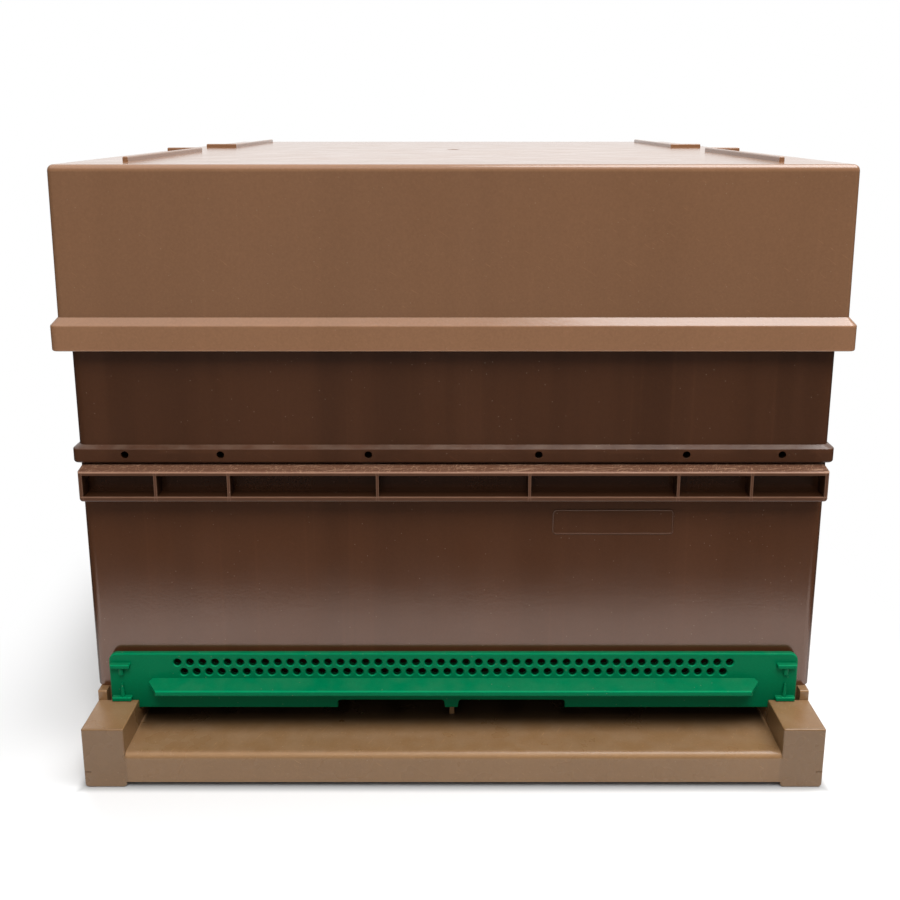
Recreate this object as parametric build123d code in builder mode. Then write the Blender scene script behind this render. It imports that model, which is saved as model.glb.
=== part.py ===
from build123d import *
import os

os.makedirs("parts", exist_ok=True)

# Plan of the two body sections
body_width = 434.0  # outside, across the entrance front
body_length = 504.0  # outside, front to back
wall_depth = 27.0  # outer face to inner face of the double wall
skin = 3.0  # moulded thickness of each skin
web = 2.4  # thickness of stiffening webs
corner_radius = 6.0  # outer vertical corners
inner_radius = 1.0  # inner vertical corners
side_bays = 6  # stiffened bays along each side
inner_width = body_width - 2 * wall_depth
inner_length = body_length - 2 * wall_depth

# Heights of the stack above the ground
foot_height = 3.5  # underside of the floor above the ground, between the foot runners
landing_height = 21.8  # top of the landing board and deck
seat_height = 43.4  # where the lower section stands on the floor
lower_height = 142.0
upper_height = 156.0
lower_top = seat_height + lower_height
upper_top = lower_top + upper_height

# Joint between the sections
joint_gap = 1.2  # shadow gap under the flange of the upper section
tongue_height = 5.0  # locating tongue on top of the lower section
tongue_gap = 1.5  # tongue to the inner skin of the section above

# Flange round the foot of the upper section
flange_overhang = 2.7
flange_corner = 4.5
flange_face = 8.3
flange_slope = 2.0
flange_edge = 1.4
flange_brow = 0.7  # rounding between the face and the slope
flange_hole_radius = 2.2
flange_hole_rise = 5.0  # hole centre above the underside of the flange
flange_hole_spans = (98.0, 268.0, 378.0)  # each pair of holes, centre to centre

# Finger rim on the front and back of the lower section
rim_depth = 10.0
rim_side_inset = 2.6  # rim ends inside the side walls
rim_height = 18.0
rim_below_top = 1.7  # front edge of the rim below the top of the section
rim_top_plate = 2.1
rim_bottom_plate = 2.9
rim_end_wall = 2.3
rim_rib = 1.6
rim_corner = 2.0
rim_edge = 1.2  # rounding of the long front edges
rim_rib_offsets = (43.5, 128.5, 170.4)  # ribs either side of the middle

# Roof
roof_skin = 2.4
roof_wall_overhang_top = 3.5  # roof wall beyond the body, at the top
roof_wall_overhang_low = 4.1  # and at the foot of the wall
roof_lip_overhang = 7.8
roof_height = 102.7
roof_lip_face = 14.4
roof_lip_slope = 4.3
roof_corner = 3.4
roof_lip_corner = 4.6
roof_edge = 3.3
roof_lip_edge = 0.9
roof_brow = 1.2  # rounding between the lip face and its slope
roof_rest_rib = 2.6  # ribs under the roof that stand on the crown board
stack_rib_height = 3.0
stack_rib_width = 3.0
stack_rib_near = 52.0  # middle of the hive to the cross leg of each stacking rib
stack_rib_far = 222.0
stack_rib_edge = 0.9
stack_back_step = 4.5  # back ribs nearer to the middle than the front ones
stack_gap = 0.8
stack_leg_inset = 6.0  # end of each front cross leg inside the line of the body wall
mould_mark_radius = 5.0
mould_mark_depth = 0.5
roof_bays_across = 3
roof_bays_along = 4

# Crown board
crown_height = 10.0
crown_plate = 3.0
crown_inset = 1.0
crown_bays_across = 4
crown_bays_along = 5

# Floor
floor_side_inset = 2.7  # floor inside the line of the body walls
gate_slot = 6.0  # pillars to the front wall
pillar_depth = 30.4
pillar_height = 37.6
pillar_corner = 0.9
pillar_foot = 2.2  # rounding of each foot, seen from the front
tab_width = 5.2
tab_edge = 1.0
landing_edge = 4.0
post_width = 2.8
post_offset = -1.0  # middle post off the centre line
runner_gap = 53.0  # middle of the hive to the inner end of each foot runner
witness_height = 9.8
witness_length = 4.2
witness_depth = 0.5
landing_bays = 6
rear_bays = 3

# Screen and tray
screen_thickness = 2.4
screen_ledge = 6.0
screen_margin = 24.0  # screen opening to the inner line of the body
screen_gap = 0.5
slot_width = 3.2
slot_bar = 5.4
slot_rows = 9
tray_height = 7.0
tray_skin = 1.8
tray_gap = 0.7
tray_sill = 2.0  # thickness of the lips that carry the tray
tray_pull_width = 120.0
tray_pull_depth = 5.5

# Entrance gate
gate_height = 35.8
gate_thickness = 3.0
gate_back_gap = 2.5  # gate to the front wall
gate_end_gap = 2.5  # gate ends to the side tabs
gate_hang = 5.8  # underside of the lower ledges above the gate's lower edge
gate_corner = 5.0
gate_edge = 0.8
vent_radius = 2.05
vent_rim = 0.8
vent_pitch = 7.53
vent_row_drops = (5.8, 12.0)  # top edge of the gate to each row
vent_margin = 40.0
notch_reach = 68.6
notch_offset = -1.3  # notches and tooth off the centre line
notch_height = 5.0
notch_fillet = 1.8
tooth_root = 9.4
tooth_foot = 7.8
visor_depth = 11.0
visor_fall = 2.4
visor_skin = 1.8
visor_lip = 3.2
visor_rise = 19.8  # root of the visor above the gate's lower edge
visor_margin = 25.6  # gate end to the root of the visor
visor_tip = 1.5  # how far the ends flare beyond the root
visor_tip_depth = 3.0
visor_taper = 4.6  # how far the ends draw in at the lip
ledge_length = 11.6
ledge_inset = 1.3
ledge_depth = 3.2
ledge_height = 2.8
ledge_edge = 0.8
stub_radius = 1.5
stub_inset = 7.3  # gate end to the middle of the stub
stub_length = 4.6
pin_length = 11.0
pin_tip_radius = 0.5

# Frames
frame_count = 10
bar_space = 11.5  # between the top bars of neighbouring frames
side_space = 8.25  # outer frames to the side walls
end_space = 7.5  # end bars to the end walls
over_space = 7.0  # top bars to the crown board
under_space = 12.6  # bottom bars to the deck
top_bar_height = 20.0
lug_height = 10.0
lug_gap = 3.0  # lug ends to the back of the rebate
rebate_depth = 13.0
end_bar_thickness = 8.0
bottom_bar_width = 15.0
bottom_bar_height = 10.0
foundation_thickness = 1.6
foundation_gap = 1.5
spacer_gap = 1.0
spacer_height = 6.0

# Derived positions, front to back
floor_half = body_width / 2 - floor_side_inset
front_reach = body_length / 2 + gate_slot + pillar_depth
rear_reach = body_length / 2 + max(roof_lip_overhang, rim_depth)
body_y = (front_reach - rear_reach) / 2
front_wall_y = -body_length / 2
rear_wall_y = body_length / 2
pillar_back_y = front_wall_y - gate_slot
floor_front_y = -front_reach
inner_x = inner_width / 2
inner_y = inner_length / 2


def level(z):
    """Horizontal plane at height z over the middle of the body."""
    return Plane(origin=(0, body_y, z))


def end_face(side, reach=0.0):
    """Upright plane on the front (-1) or back (+1) wall, looking outwards."""
    y = body_y + side * (body_length / 2 + reach)
    return Plane(origin=(0, y, 0), x_dir=(-side, 0, 0), z_dir=(0, side, 0))


def end_section(side):
    """Upright plane along the middle, x outwards from the front or back wall."""
    y = body_y + side * body_length / 2
    return Plane(origin=(0, y, 0), x_dir=(0, side, 0), z_dir=(side, 0, 0))


def patch(x0, x1, y0, y1, mode=Mode.ADD):
    """Rectangle between two corners of the current sketch."""
    with Locations(((x0 + x1) / 2, (y0 + y1) / 2)):
        Rectangle(abs(x1 - x0), abs(y1 - y0), mode=mode)


def plan(margin, radius, mode=Mode.ADD):
    """Rounded outline of the body, grown by a margin."""
    RectangleRounded(body_width + 2 * margin, body_length + 2 * margin, radius, mode=mode)


def cut_across(*places):
    """Divides the current part at upright planes across the hive."""
    for x in places:
        split(bisect_by=Plane(origin=(x, 0, 0), z_dir=(1, 0, 0)), keep=Keep.BOTH)


def cut_level(*heights):
    """Divides the current part at horizontal planes."""
    for z in heights:
        split(bisect_by=Plane(origin=(0, 0, z)), keep=Keep.BOTH)


def wall_webs():
    """Webs between the two skins: in line with the rim ribs, and along the sides."""
    end_y = (body_length - wall_depth) / 2
    for side in (-1, 1):
        for x in rim_rib_offsets:
            with Locations((x, side * end_y), (-x, side * end_y)):
                Rectangle(web, wall_depth - skin)
        with Locations((side * (body_width - wall_depth) / 2, 0)):
            with GridLocations(wall_depth, inner_length / side_bays, 1, side_bays + 1):
                Rectangle(wall_depth - skin, web)


# Lower body section
with BuildPart() as lower_body:
    with BuildSketch(level(seat_height)):
        plan(0, corner_radius)
        plan(-wall_depth, inner_radius, Mode.SUBTRACT)
    extrude(amount=lower_height)
    with BuildSketch(level(seat_height)):
        plan(-skin, corner_radius - skin)
        plan(skin - wall_depth, inner_radius + skin, Mode.SUBTRACT)
    extrude(amount=lower_height - skin, mode=Mode.SUBTRACT)
    with BuildSketch(level(seat_height)):
        wall_webs()
    extrude(amount=lower_height - skin)
    with BuildSketch(level(lower_top)):
        plan(2 * skin + tongue_gap - wall_depth, inner_radius + 2 * skin + tongue_gap)
        plan(skin + tongue_gap - wall_depth, inner_radius + skin + tongue_gap, Mode.SUBTRACT)
    extrude(amount=tongue_height)
    cut_across(-inner_x, inner_x)
lower_body.part.label = "lower_body"
export_step(lower_body.part, "parts/lower_body.step")

# Finger rims on the front and back of the lower section
rim_bottom = lower_top - rim_below_top - rim_height
rim_half = body_width / 2 - rim_side_inset
rim_inner = rim_half - rim_end_wall + rim_rib / 2
rim_ribs = [-rim_inner]
rim_ribs += [-x for x in reversed(rim_rib_offsets)] + list(rim_rib_offsets)
rim_ribs += [rim_inner]
pocket_low = rim_bottom + rim_bottom_plate
pocket_high = rim_bottom + rim_height - rim_top_plate
for side, rim_name in ((-1, "front_grip_rim"), (1, "back_grip_rim")):
    with BuildPart() as grip_rim:
        with BuildSketch(end_face(side)) as rim_outline:
            patch(-rim_half, rim_half, rim_bottom, lower_top)
            fillet(rim_outline.vertices().group_by(Axis.Y)[0], rim_corner)
        extrude(amount=rim_depth)
        with BuildSketch(end_section(side)):
            with BuildLine():
                Polyline(
                    (0, lower_top),
                    (rim_depth, lower_top - rim_below_top),
                    (rim_depth, lower_top),
                    close=True,
                )
            make_face()
        extrude(amount=rim_half, both=True, mode=Mode.SUBTRACT)
        rim_front = grip_rim.edges().filter_by(Axis.X).group_by(Axis.Y)[0 if side < 0 else -1]
        fillet(rim_front, rim_edge)
        with BuildSketch(end_face(side)):
            for left, right in zip(rim_ribs, rim_ribs[1:]):
                patch(left + rim_rib / 2, right - rim_rib / 2, pocket_low, pocket_high)
        extrude(amount=rim_depth, mode=Mode.SUBTRACT)
        cut_level(pocket_low, pocket_high)
    grip_rim.part.label = rim_name
    export_step(grip_rim.part, f"parts/{rim_name}.step")

# Frame set, measured down from the crown board and in from the walls
frame_pitch = (inner_width + bar_space - 2 * side_space) / frame_count
bar_width = frame_pitch - bar_space
frame_top = upper_top - over_space
frame_bottom = landing_height + under_space
lug_ledge = frame_top - lug_height
frame_half = inner_y - end_space
lug_half = inner_y + rebate_depth - lug_gap

# Upper body section
flange_z = lower_top + joint_gap
slope_z = flange_z + flange_face
hollow_top = lug_ledge - skin
with BuildPart() as upper_body:
    with BuildSketch(level(flange_z)):
        plan(flange_overhang, flange_corner)
    extrude(amount=flange_face)
    with BuildSketch(level(slope_z)):
        plan(flange_overhang, flange_corner)
    with BuildSketch(level(slope_z + flange_slope)):
        plan(0, corner_radius)
    loft()
    fillet(upper_body.edges().filter_by_position(Axis.Z, slope_z, slope_z), flange_brow)
    fillet(upper_body.edges().group_by(Axis.Z)[0], flange_edge)
    with BuildSketch(level(slope_z)):
        plan(0, corner_radius)
    extrude(amount=upper_top - slope_z)
    with BuildSketch(level(flange_z)):
        plan(-skin, corner_radius - skin)
    extrude(amount=hollow_top - flange_z, mode=Mode.SUBTRACT)
    with BuildSketch(level(lower_top)):
        plan(skin - wall_depth, inner_radius + skin)
    extrude(amount=hollow_top - lower_top)
    with BuildSketch(level(lower_top + tongue_height + joint_gap)):
        wall_webs()
    extrude(amount=hollow_top - lower_top - tongue_height - joint_gap)
    with BuildSketch(level(lower_top)):
        plan(-wall_depth, inner_radius)
    extrude(amount=upper_height, mode=Mode.SUBTRACT)
    # Rebates for the frame lugs
    with BuildSketch(level(lug_ledge)):
        for side in (-1, 1):
            patch(-inner_x, inner_x, side * (inner_y - skin), side * (inner_y + rebate_depth))
    extrude(amount=upper_top - lug_ledge, mode=Mode.SUBTRACT)
    # Lightening pockets in the thick head of the walls
    with BuildSketch(level(hollow_top)):
        for side in (-1, 1):
            patch(side * (inner_x + skin), side * (body_width / 2 - skin), -inner_y, inner_y)
            patch(
                -inner_x,
                inner_x,
                side * (inner_y + rebate_depth + skin),
                side * (body_length / 2 - skin),
            )
    extrude(amount=upper_top - skin - hollow_top, mode=Mode.SUBTRACT)
    for side in (-1, 1):
        with BuildSketch(end_face(side, flange_overhang)):
            for span in flange_hole_spans:
                with Locations((-span / 2, flange_z + flange_hole_rise)):
                    Circle(flange_hole_radius)
                with Locations((span / 2, flange_z + flange_hole_rise)):
                    Circle(flange_hole_radius)
        extrude(amount=-flange_overhang - 2 * skin, mode=Mode.SUBTRACT)
    cut_across(-inner_x, inner_x)
    cut_level(slope_z + flange_slope, lug_ledge)
upper_body.part.label = "upper_body"
export_step(upper_body.part, "parts/upper_body.step")

# Spacer teeth on the ledges, between the frame lugs
with BuildPart() as frame_spacers:
    with BuildSketch(level(lug_ledge)):
        for side in (-1, 1):
            with Locations((0, side * (inner_y + rebate_depth / 2))):
                with GridLocations(frame_pitch, rebate_depth, frame_count - 1, 1):
                    Rectangle(bar_space - 2 * spacer_gap, rebate_depth)
    extrude(amount=spacer_height)
frame_spacers.part.label = "frame_spacers"
export_step(frame_spacers.part, "parts/frame_spacers.step")

# Crown board
crown_top = upper_top + crown_height
with BuildPart() as crown_board:
    with BuildSketch(level(upper_top)):
        plan(-crown_inset, corner_radius)
    extrude(amount=crown_height)
    with BuildSketch(level(upper_top + crown_plate)):
        plan(-crown_inset - skin, corner_radius - skin)
        with GridLocations(body_width / crown_bays_across, body_length, crown_bays_across - 1, 1):
            Rectangle(web, body_length, mode=Mode.SUBTRACT)
        with GridLocations(body_width, body_length / crown_bays_along, 1, crown_bays_along - 1):
            Rectangle(body_width, web, mode=Mode.SUBTRACT)
    extrude(amount=crown_height - crown_plate, mode=Mode.SUBTRACT)
crown_board.part.label = "crown_board"
export_step(crown_board.part, "parts/crown_board.step")

# Roof
ceiling_z = crown_top + roof_rest_rib
roof_top = ceiling_z + roof_skin
lip_z = roof_top - roof_height
lip_top = lip_z + roof_lip_face
wall_z = lip_top + roof_lip_slope
roof_inner = body_width / 2 + roof_wall_overhang_top - roof_skin
stack_front = inner_x - stack_gap - stack_rib_width  # inner faces of the front ribs
stack_back = stack_front - stack_back_step
stack_leg = body_width / 2 - stack_leg_inset - stack_front
stack_clear = stack_back - stack_gap  # edge of the plain middle of the roof
with BuildPart() as roof:
    with BuildSketch(level(wall_z)):
        plan(roof_wall_overhang_low, roof_corner)
    with BuildSketch(level(roof_top)):
        plan(roof_wall_overhang_top, roof_corner)
    loft()
    fillet(roof.edges().group_by(Axis.Z)[-1], roof_edge)
    with BuildSketch(level(lip_z)):
        plan(roof_lip_overhang, roof_lip_corner)
    extrude(amount=roof_lip_face)
    with BuildSketch(level(lip_top)):
        plan(roof_lip_overhang, roof_lip_corner)
    with BuildSketch(level(wall_z)):
        plan(roof_wall_overhang_low, roof_corner)
    loft()
    fillet(roof.edges().filter_by_position(Axis.Z, lip_top, lip_top), roof_brow)
    fillet(roof.edges().group_by(Axis.Z)[0], roof_lip_edge)
    with BuildSketch(level(lip_z)):
        plan(roof_lip_overhang - roof_skin, roof_lip_corner - roof_skin)
    extrude(amount=roof_lip_face - roof_skin, mode=Mode.SUBTRACT)
    with BuildSketch(level(lip_top - roof_skin)):
        plan(roof_lip_overhang - roof_skin, roof_lip_corner - roof_skin)
    with BuildSketch(level(wall_z - roof_skin)):
        plan(roof_wall_overhang_low - roof_skin, roof_corner - roof_skin)
    loft(mode=Mode.SUBTRACT)
    with BuildSketch(level(wall_z - roof_skin)):
        plan(roof_wall_overhang_low - roof_skin, roof_corner - roof_skin)
    with BuildSketch(level(ceiling_z)):
        plan(roof_wall_overhang_top - roof_skin, roof_corner - roof_skin)
    loft(mode=Mode.SUBTRACT)
    with BuildSketch(level(crown_top)):
        with GridLocations(body_width / roof_bays_across, body_length, roof_bays_across + 1, 1):
            Rectangle(web, body_length - 2 * skin)
        with GridLocations(body_width, body_length / roof_bays_along, 1, roof_bays_along + 1):
            Rectangle(body_width - 2 * skin, web)
        plan(-skin, corner_radius - skin, Mode.INTERSECT)
    extrude(amount=roof_rest_rib)
    with BuildSketch(level(roof_top)):
        Circle(mould_mark_radius)
    extrude(amount=-mould_mark_depth, mode=Mode.SUBTRACT)
    cut_level(crown_top)
    cut_across(-roof_inner, -stack_clear, stack_clear, roof_inner)
roof.part.label = "roof"
export_step(roof.part, "parts/roof.step")

# Stacking ribs: each takes the inner corner of a foot runner of a hive stood on top
with BuildPart() as roof_stack_ribs:
    with BuildSketch(level(roof_top)):
        for end, rib_x in ((-1, stack_front), (1, stack_back)):
            near = end * stack_rib_near
            for side in (-1, 1):
                patch(
                    side * rib_x,
                    side * (rib_x + stack_rib_width),
                    near,
                    end * stack_rib_far,
                )
                patch(
                    side * rib_x,
                    side * (rib_x + stack_leg),
                    near - end * stack_rib_width,
                    near,
                )
    extrude(amount=stack_rib_height)
    fillet(roof_stack_ribs.edges().group_by(Axis.Z)[-1], stack_rib_edge)
    for end in (-1, 1):
        split(bisect_by=end_face(end, stack_rib_near - body_length / 2), keep=Keep.BOTH)
roof_stack_ribs.part.label = "roof_stack_ribs"
export_step(roof_stack_ribs.part, "parts/roof_stack_ribs.step")

# Floor: one front pillar, its front edges and top rounded
with BuildPart() as pillar:
    with BuildSketch(end_face(-1, gate_slot)) as pillar_front:
        patch(inner_x, floor_half, 0, pillar_height)
        fillet(pillar_front.vertices().group_by(Axis.Y)[0], pillar_foot)
    extrude(amount=pillar_depth)
    fillet(pillar.edges().group_by(Axis.Z)[-1] + pillar.edges().group_by(Axis.Y)[0], pillar_corner)

screen_half = inner_x - screen_margin - screen_ledge
screen_front = -inner_y + screen_margin + screen_ledge
screen_rear = inner_y - screen_margin - screen_ledge
deck_under = landing_height - skin
tray_half = inner_x - screen_margin
rail_inner = tray_half + tray_gap
rail_outer = rail_inner + skin
tray_z = foot_height + tray_sill
tray_front = screen_front
gate_z = pillar_height - gate_hang
with BuildPart() as hive_floor:
    # Deck and landing board with its front skirt
    with BuildSketch(level(foot_height)):
        patch(-inner_x, inner_x, floor_front_y, inner_y)
        flush_half = inner_x + pillar_corner
        patch(-flush_half, flush_half, floor_front_y, floor_front_y + pillar_depth / 2)
    extrude(amount=landing_height - foot_height)
    fillet(
        hive_floor.edges().filter_by(Axis.X).group_by(Axis.Y)[0].sort_by(Axis.Z)[-1],
        landing_edge,
    )
    with BuildSketch(level(foot_height)):
        patch(-inner_x, inner_x, floor_front_y + skin, inner_y)
    extrude(amount=deck_under - foot_height - skin, mode=Mode.SUBTRACT)
    with BuildSketch(level(deck_under - skin)):
        patch(-inner_x, inner_x, floor_front_y + landing_edge, inner_y)
    extrude(amount=skin, mode=Mode.SUBTRACT)
    # Stiffening ribs under the landing board, and the stop wall of the tray
    with BuildSketch(level(2 * foot_height)):
        with Locations((0, (floor_front_y + screen_front) / 2)):
            with GridLocations(inner_width / landing_bays, 1, landing_bays - 1, 1):
                Rectangle(web, screen_front - floor_front_y - skin)
    extrude(amount=deck_under - 2 * foot_height)
    with BuildSketch(level(foot_height)):
        patch(-rail_outer, rail_outer, tray_front - skin - tray_gap, tray_front - tray_gap)
    extrude(amount=deck_under - foot_height)
    # Ledge frame for the screen and its opening
    with BuildSketch(level(deck_under - skin)):
        patch(-rail_outer, rail_outer, screen_front - 2 * screen_ledge, inner_y)
    extrude(amount=skin)
    with BuildSketch(level(foot_height)):
        patch(-screen_half, screen_half, screen_front, screen_rear)
    extrude(amount=landing_height - foot_height, mode=Mode.SUBTRACT)
    with BuildSketch(level(landing_height - screen_thickness)):
        patch(
            -screen_half - screen_ledge,
            screen_half + screen_ledge,
            screen_front - screen_ledge,
            screen_rear + screen_ledge,
        )
    extrude(amount=screen_thickness, mode=Mode.SUBTRACT)
    # Side beams, front tabs and rear wall that carry the body
    with BuildSketch(level(foot_height)):
        for side in (-1, 1):
            patch(side * inner_x, side * floor_half, front_wall_y, rear_wall_y)
            patch(side * (floor_half - tab_width), side * floor_half, pillar_back_y, front_wall_y)
        patch(-inner_x, inner_x, inner_y, rear_wall_y)
    extrude(amount=seat_height - foot_height)
    tab_top = hive_floor.edges().group_by(Axis.Z)[-1]
    fillet(tab_top.filter_by(Axis.X).group_by(Axis.Y)[0], tab_edge)
    # Pads under the gate ends, and the foot runners
    with BuildSketch(level(foot_height)):
        for side in (-1, 1):
            patch(side * inner_x, side * floor_half, pillar_back_y - skin, front_wall_y)
    extrude(amount=gate_z - joint_gap - foot_height)
    with BuildSketch(level(0)):
        for side in (-1, 1):
            patch(side * inner_x, side * floor_half, pillar_back_y - skin, -runner_gap)
            patch(side * inner_x, side * floor_half, runner_gap, rear_wall_y)
    extrude(amount=foot_height)
    add(pillar.part)
    add(pillar.part.mirror(Plane.YZ))
    # Middle post under the front wall
    with BuildSketch(level(landing_height)):
        with Locations((post_offset, 0)):
            patch(-post_width / 2, post_width / 2, front_wall_y + skin, -inner_y - skin)
    extrude(amount=seat_height - landing_height)
    # Tray rails with their lips
    with BuildSketch(level(foot_height)):
        for side in (-1, 1):
            patch(side * rail_inner, side * rail_outer, tray_front - tray_gap, inner_y)
    extrude(amount=deck_under - foot_height)
    with BuildSketch(level(foot_height)):
        for side in (-1, 1):
            patch(side * screen_half, side * rail_inner, tray_front - tray_gap, inner_y)
    extrude(amount=tray_sill)
    # Hollows open to the ground: side beams, pillars and rear wall
    with BuildSketch(level(0)):
        for side in (-1, 1):
            for bay in range(side_bays):
                bay_length = body_length / side_bays
                start = front_wall_y + bay * bay_length
                patch(
                    side * (inner_x + skin),
                    side * (floor_half - skin),
                    start + web,
                    start + bay_length - web,
                )
    extrude(amount=seat_height - skin, mode=Mode.SUBTRACT)
    with BuildSketch(level(0)):
        for side in (-1, 1):
            patch(
                side * (inner_x + skin),
                side * (floor_half - skin),
                floor_front_y + skin,
                pillar_back_y - skin,
            )
    extrude(amount=pillar_height - 2 * skin, mode=Mode.SUBTRACT)
    with BuildSketch(level(foot_height)):
        patch(-inner_x, inner_x, inner_y + skin, rear_wall_y - skin)
        with GridLocations(inner_width / rear_bays, 1, rear_bays - 1, 1):
            Rectangle(web, body_length, mode=Mode.SUBTRACT)
    extrude(amount=seat_height - skin - foot_height, mode=Mode.SUBTRACT)
    # Slot for the tray through the rear wall
    with BuildSketch(level(tray_z)):
        patch(-rail_inner, rail_inner, inner_y - skin, rear_wall_y)
    extrude(amount=tray_height + tray_gap, mode=Mode.SUBTRACT)
    # Short witness line on the outer edge of each pillar
    with BuildSketch(Plane(origin=(0, body_y + floor_front_y, 0), x_dir=(1, 0, 0), z_dir=(0, -1, 0))):
        for side in (-1, 1):
            patch(
                side * (floor_half - witness_length),
                side * floor_half,
                witness_height,
                witness_height + witness_depth,
            )
    extrude(amount=-witness_depth, mode=Mode.SUBTRACT)
    cut_across(-inner_x, -screen_half, screen_half, inner_x)
    split(bisect_by=end_face(1, -wall_depth), keep=Keep.BOTH)
    cut_level(landing_height)
hive_floor.part.label = "hive_floor"
export_step(hive_floor.part, "parts/hive_floor.step")

# Floor screen
screen_width = 2 * (screen_half + screen_ledge - screen_gap)
screen_length = screen_rear - screen_front + 2 * (screen_ledge - screen_gap)
slot_columns = int((2 * screen_half - slot_bar) / (slot_width + slot_bar))
slot_pitch = (screen_rear - screen_front) / slot_rows
with BuildPart() as floor_screen:
    with BuildSketch(level(landing_height - screen_thickness)):
        with Locations((0, (screen_front + screen_rear) / 2)):
            Rectangle(screen_width, screen_length)
            with GridLocations(slot_width + slot_bar, slot_pitch, slot_columns, slot_rows):
                Rectangle(slot_width, slot_pitch - slot_bar, mode=Mode.SUBTRACT)
    extrude(amount=screen_thickness)
floor_screen.part.label = "floor_screen"
export_step(floor_screen.part, "parts/floor_screen.step")

# Inspection tray with a finger pull outside the rear wall
tray_rear = rear_wall_y + joint_gap
with BuildPart() as inspection_tray:
    with BuildSketch(level(tray_z)):
        patch(-tray_half, tray_half, tray_front, tray_rear)
    extrude(amount=tray_height)
    with BuildSketch(level(tray_z + tray_skin)):
        patch(
            -tray_half + tray_skin,
            tray_half - tray_skin,
            tray_front + tray_skin,
            tray_rear - tray_skin,
        )
    extrude(amount=tray_height - tray_skin, mode=Mode.SUBTRACT)
    with BuildSketch(level(tray_z)):
        patch(-tray_pull_width / 2, tray_pull_width / 2, tray_rear, tray_rear + tray_pull_depth)
    extrude(amount=tray_skin)
    with BuildSketch(level(tray_z)):
        patch(
            -tray_pull_width / 2,
            tray_pull_width / 2,
            tray_rear + tray_pull_depth - tray_skin,
            tray_rear + tray_pull_depth,
        )
    extrude(amount=tray_height)
inspection_tray.part.label = "inspection_tray"
export_step(inspection_tray.part, "parts/inspection_tray.step")

# Entrance gate
gate_half = floor_half - tab_width - gate_end_gap
gate_back_y = body_y + front_wall_y - gate_back_gap
gate_front_y = gate_back_y - gate_thickness
gate_top = gate_z + gate_height
gate_face = Plane(origin=(0, gate_back_y, 0), x_dir=(1, 0, 0), z_dir=(0, -1, 0))
gate_middle = Plane(origin=(0, gate_front_y, 0), x_dir=(0, -1, 0), z_dir=(-1, 0, 0))
gate_plan = Plane(origin=(0, gate_front_y, 0), x_dir=(1, 0, 0), z_dir=(0, 0, 1))
vent_count = int((2 * gate_half - 2 * vent_margin) / vent_pitch) + 1

# Visor: a sloping shelf with a turned-down lip, its ends cut to a blunt point
visor_z = gate_z + visor_rise
visor_root = gate_half - visor_margin
with BuildPart() as visor:
    with BuildSketch(gate_middle) as visor_profile:
        with BuildLine():
            Polyline(
                (-gate_thickness / 2, visor_z),
                (0, visor_z),
                (visor_depth, visor_z - visor_fall),
                (visor_depth, visor_z - visor_fall - visor_lip),
                (visor_depth - visor_skin, visor_z - visor_fall - visor_lip),
                (visor_depth - visor_skin, visor_z - visor_fall - visor_skin),
                (0, visor_z - visor_skin),
                (-gate_thickness / 2, visor_z - visor_skin),
                close=True,
            )
        make_face()
        fillet(visor_profile.vertices().group_by(Axis.X)[-1], visor_skin / 2)
    extrude(amount=gate_half, both=True)
    with BuildSketch(gate_plan):
        with BuildLine():
            Polyline(
                (-visor_root, gate_thickness / 2),
                (-visor_root, 0),
                (-visor_root - visor_tip, -visor_tip_depth),
                (-visor_root + visor_taper, -visor_depth),
                (visor_root - visor_taper, -visor_depth),
                (visor_root + visor_tip, -visor_tip_depth),
                (visor_root, 0),
                (visor_root, gate_thickness / 2),
                close=True,
            )
        make_face()
    extrude(amount=gate_top, mode=Mode.INTERSECT)

# One end lug: upper and lower ledge, a stub below the upper, a tapered pin on the lower
ledge_end = gate_half - ledge_inset
stub_x = gate_half - stub_inset
upper_ledge_top = gate_top - gate_hang
with BuildPart() as end_lug:
    with BuildSketch(gate_face.offset(gate_thickness / 2)) as ledges:
        for low in (gate_z + gate_hang, upper_ledge_top - ledge_height):
            patch(ledge_end - ledge_length, ledge_end, low, low + ledge_height)
        fillet(ledges.vertices().group_by(Axis.X)[0], ledge_edge)
    extrude(amount=gate_thickness / 2 + ledge_depth)
    fillet(end_lug.faces().group_by(Axis.Y)[0].edges(), ledge_edge)
    with BuildSketch(gate_plan.offset(upper_ledge_top - ledge_height / 2)):
        with Locations((stub_x, -stub_radius / 2)):
            Circle(stub_radius)
    extrude(amount=-stub_length - ledge_height / 2)
    stub_foot = end_lug.edges().filter_by(lambda e: e.is_closed).sort_by(Axis.Z)[0]
    fillet(stub_foot, ledge_edge / 2)
    with BuildSketch(gate_plan.offset(gate_z + gate_hang + ledge_height / 2)):
        with Locations((stub_x, -stub_radius / 2)):
            Circle(stub_radius)
    with BuildSketch(gate_plan.offset(gate_z + gate_hang + pin_length)):
        with Locations((stub_x, -stub_radius / 2)):
            Circle(pin_tip_radius)
    loft()

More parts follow.
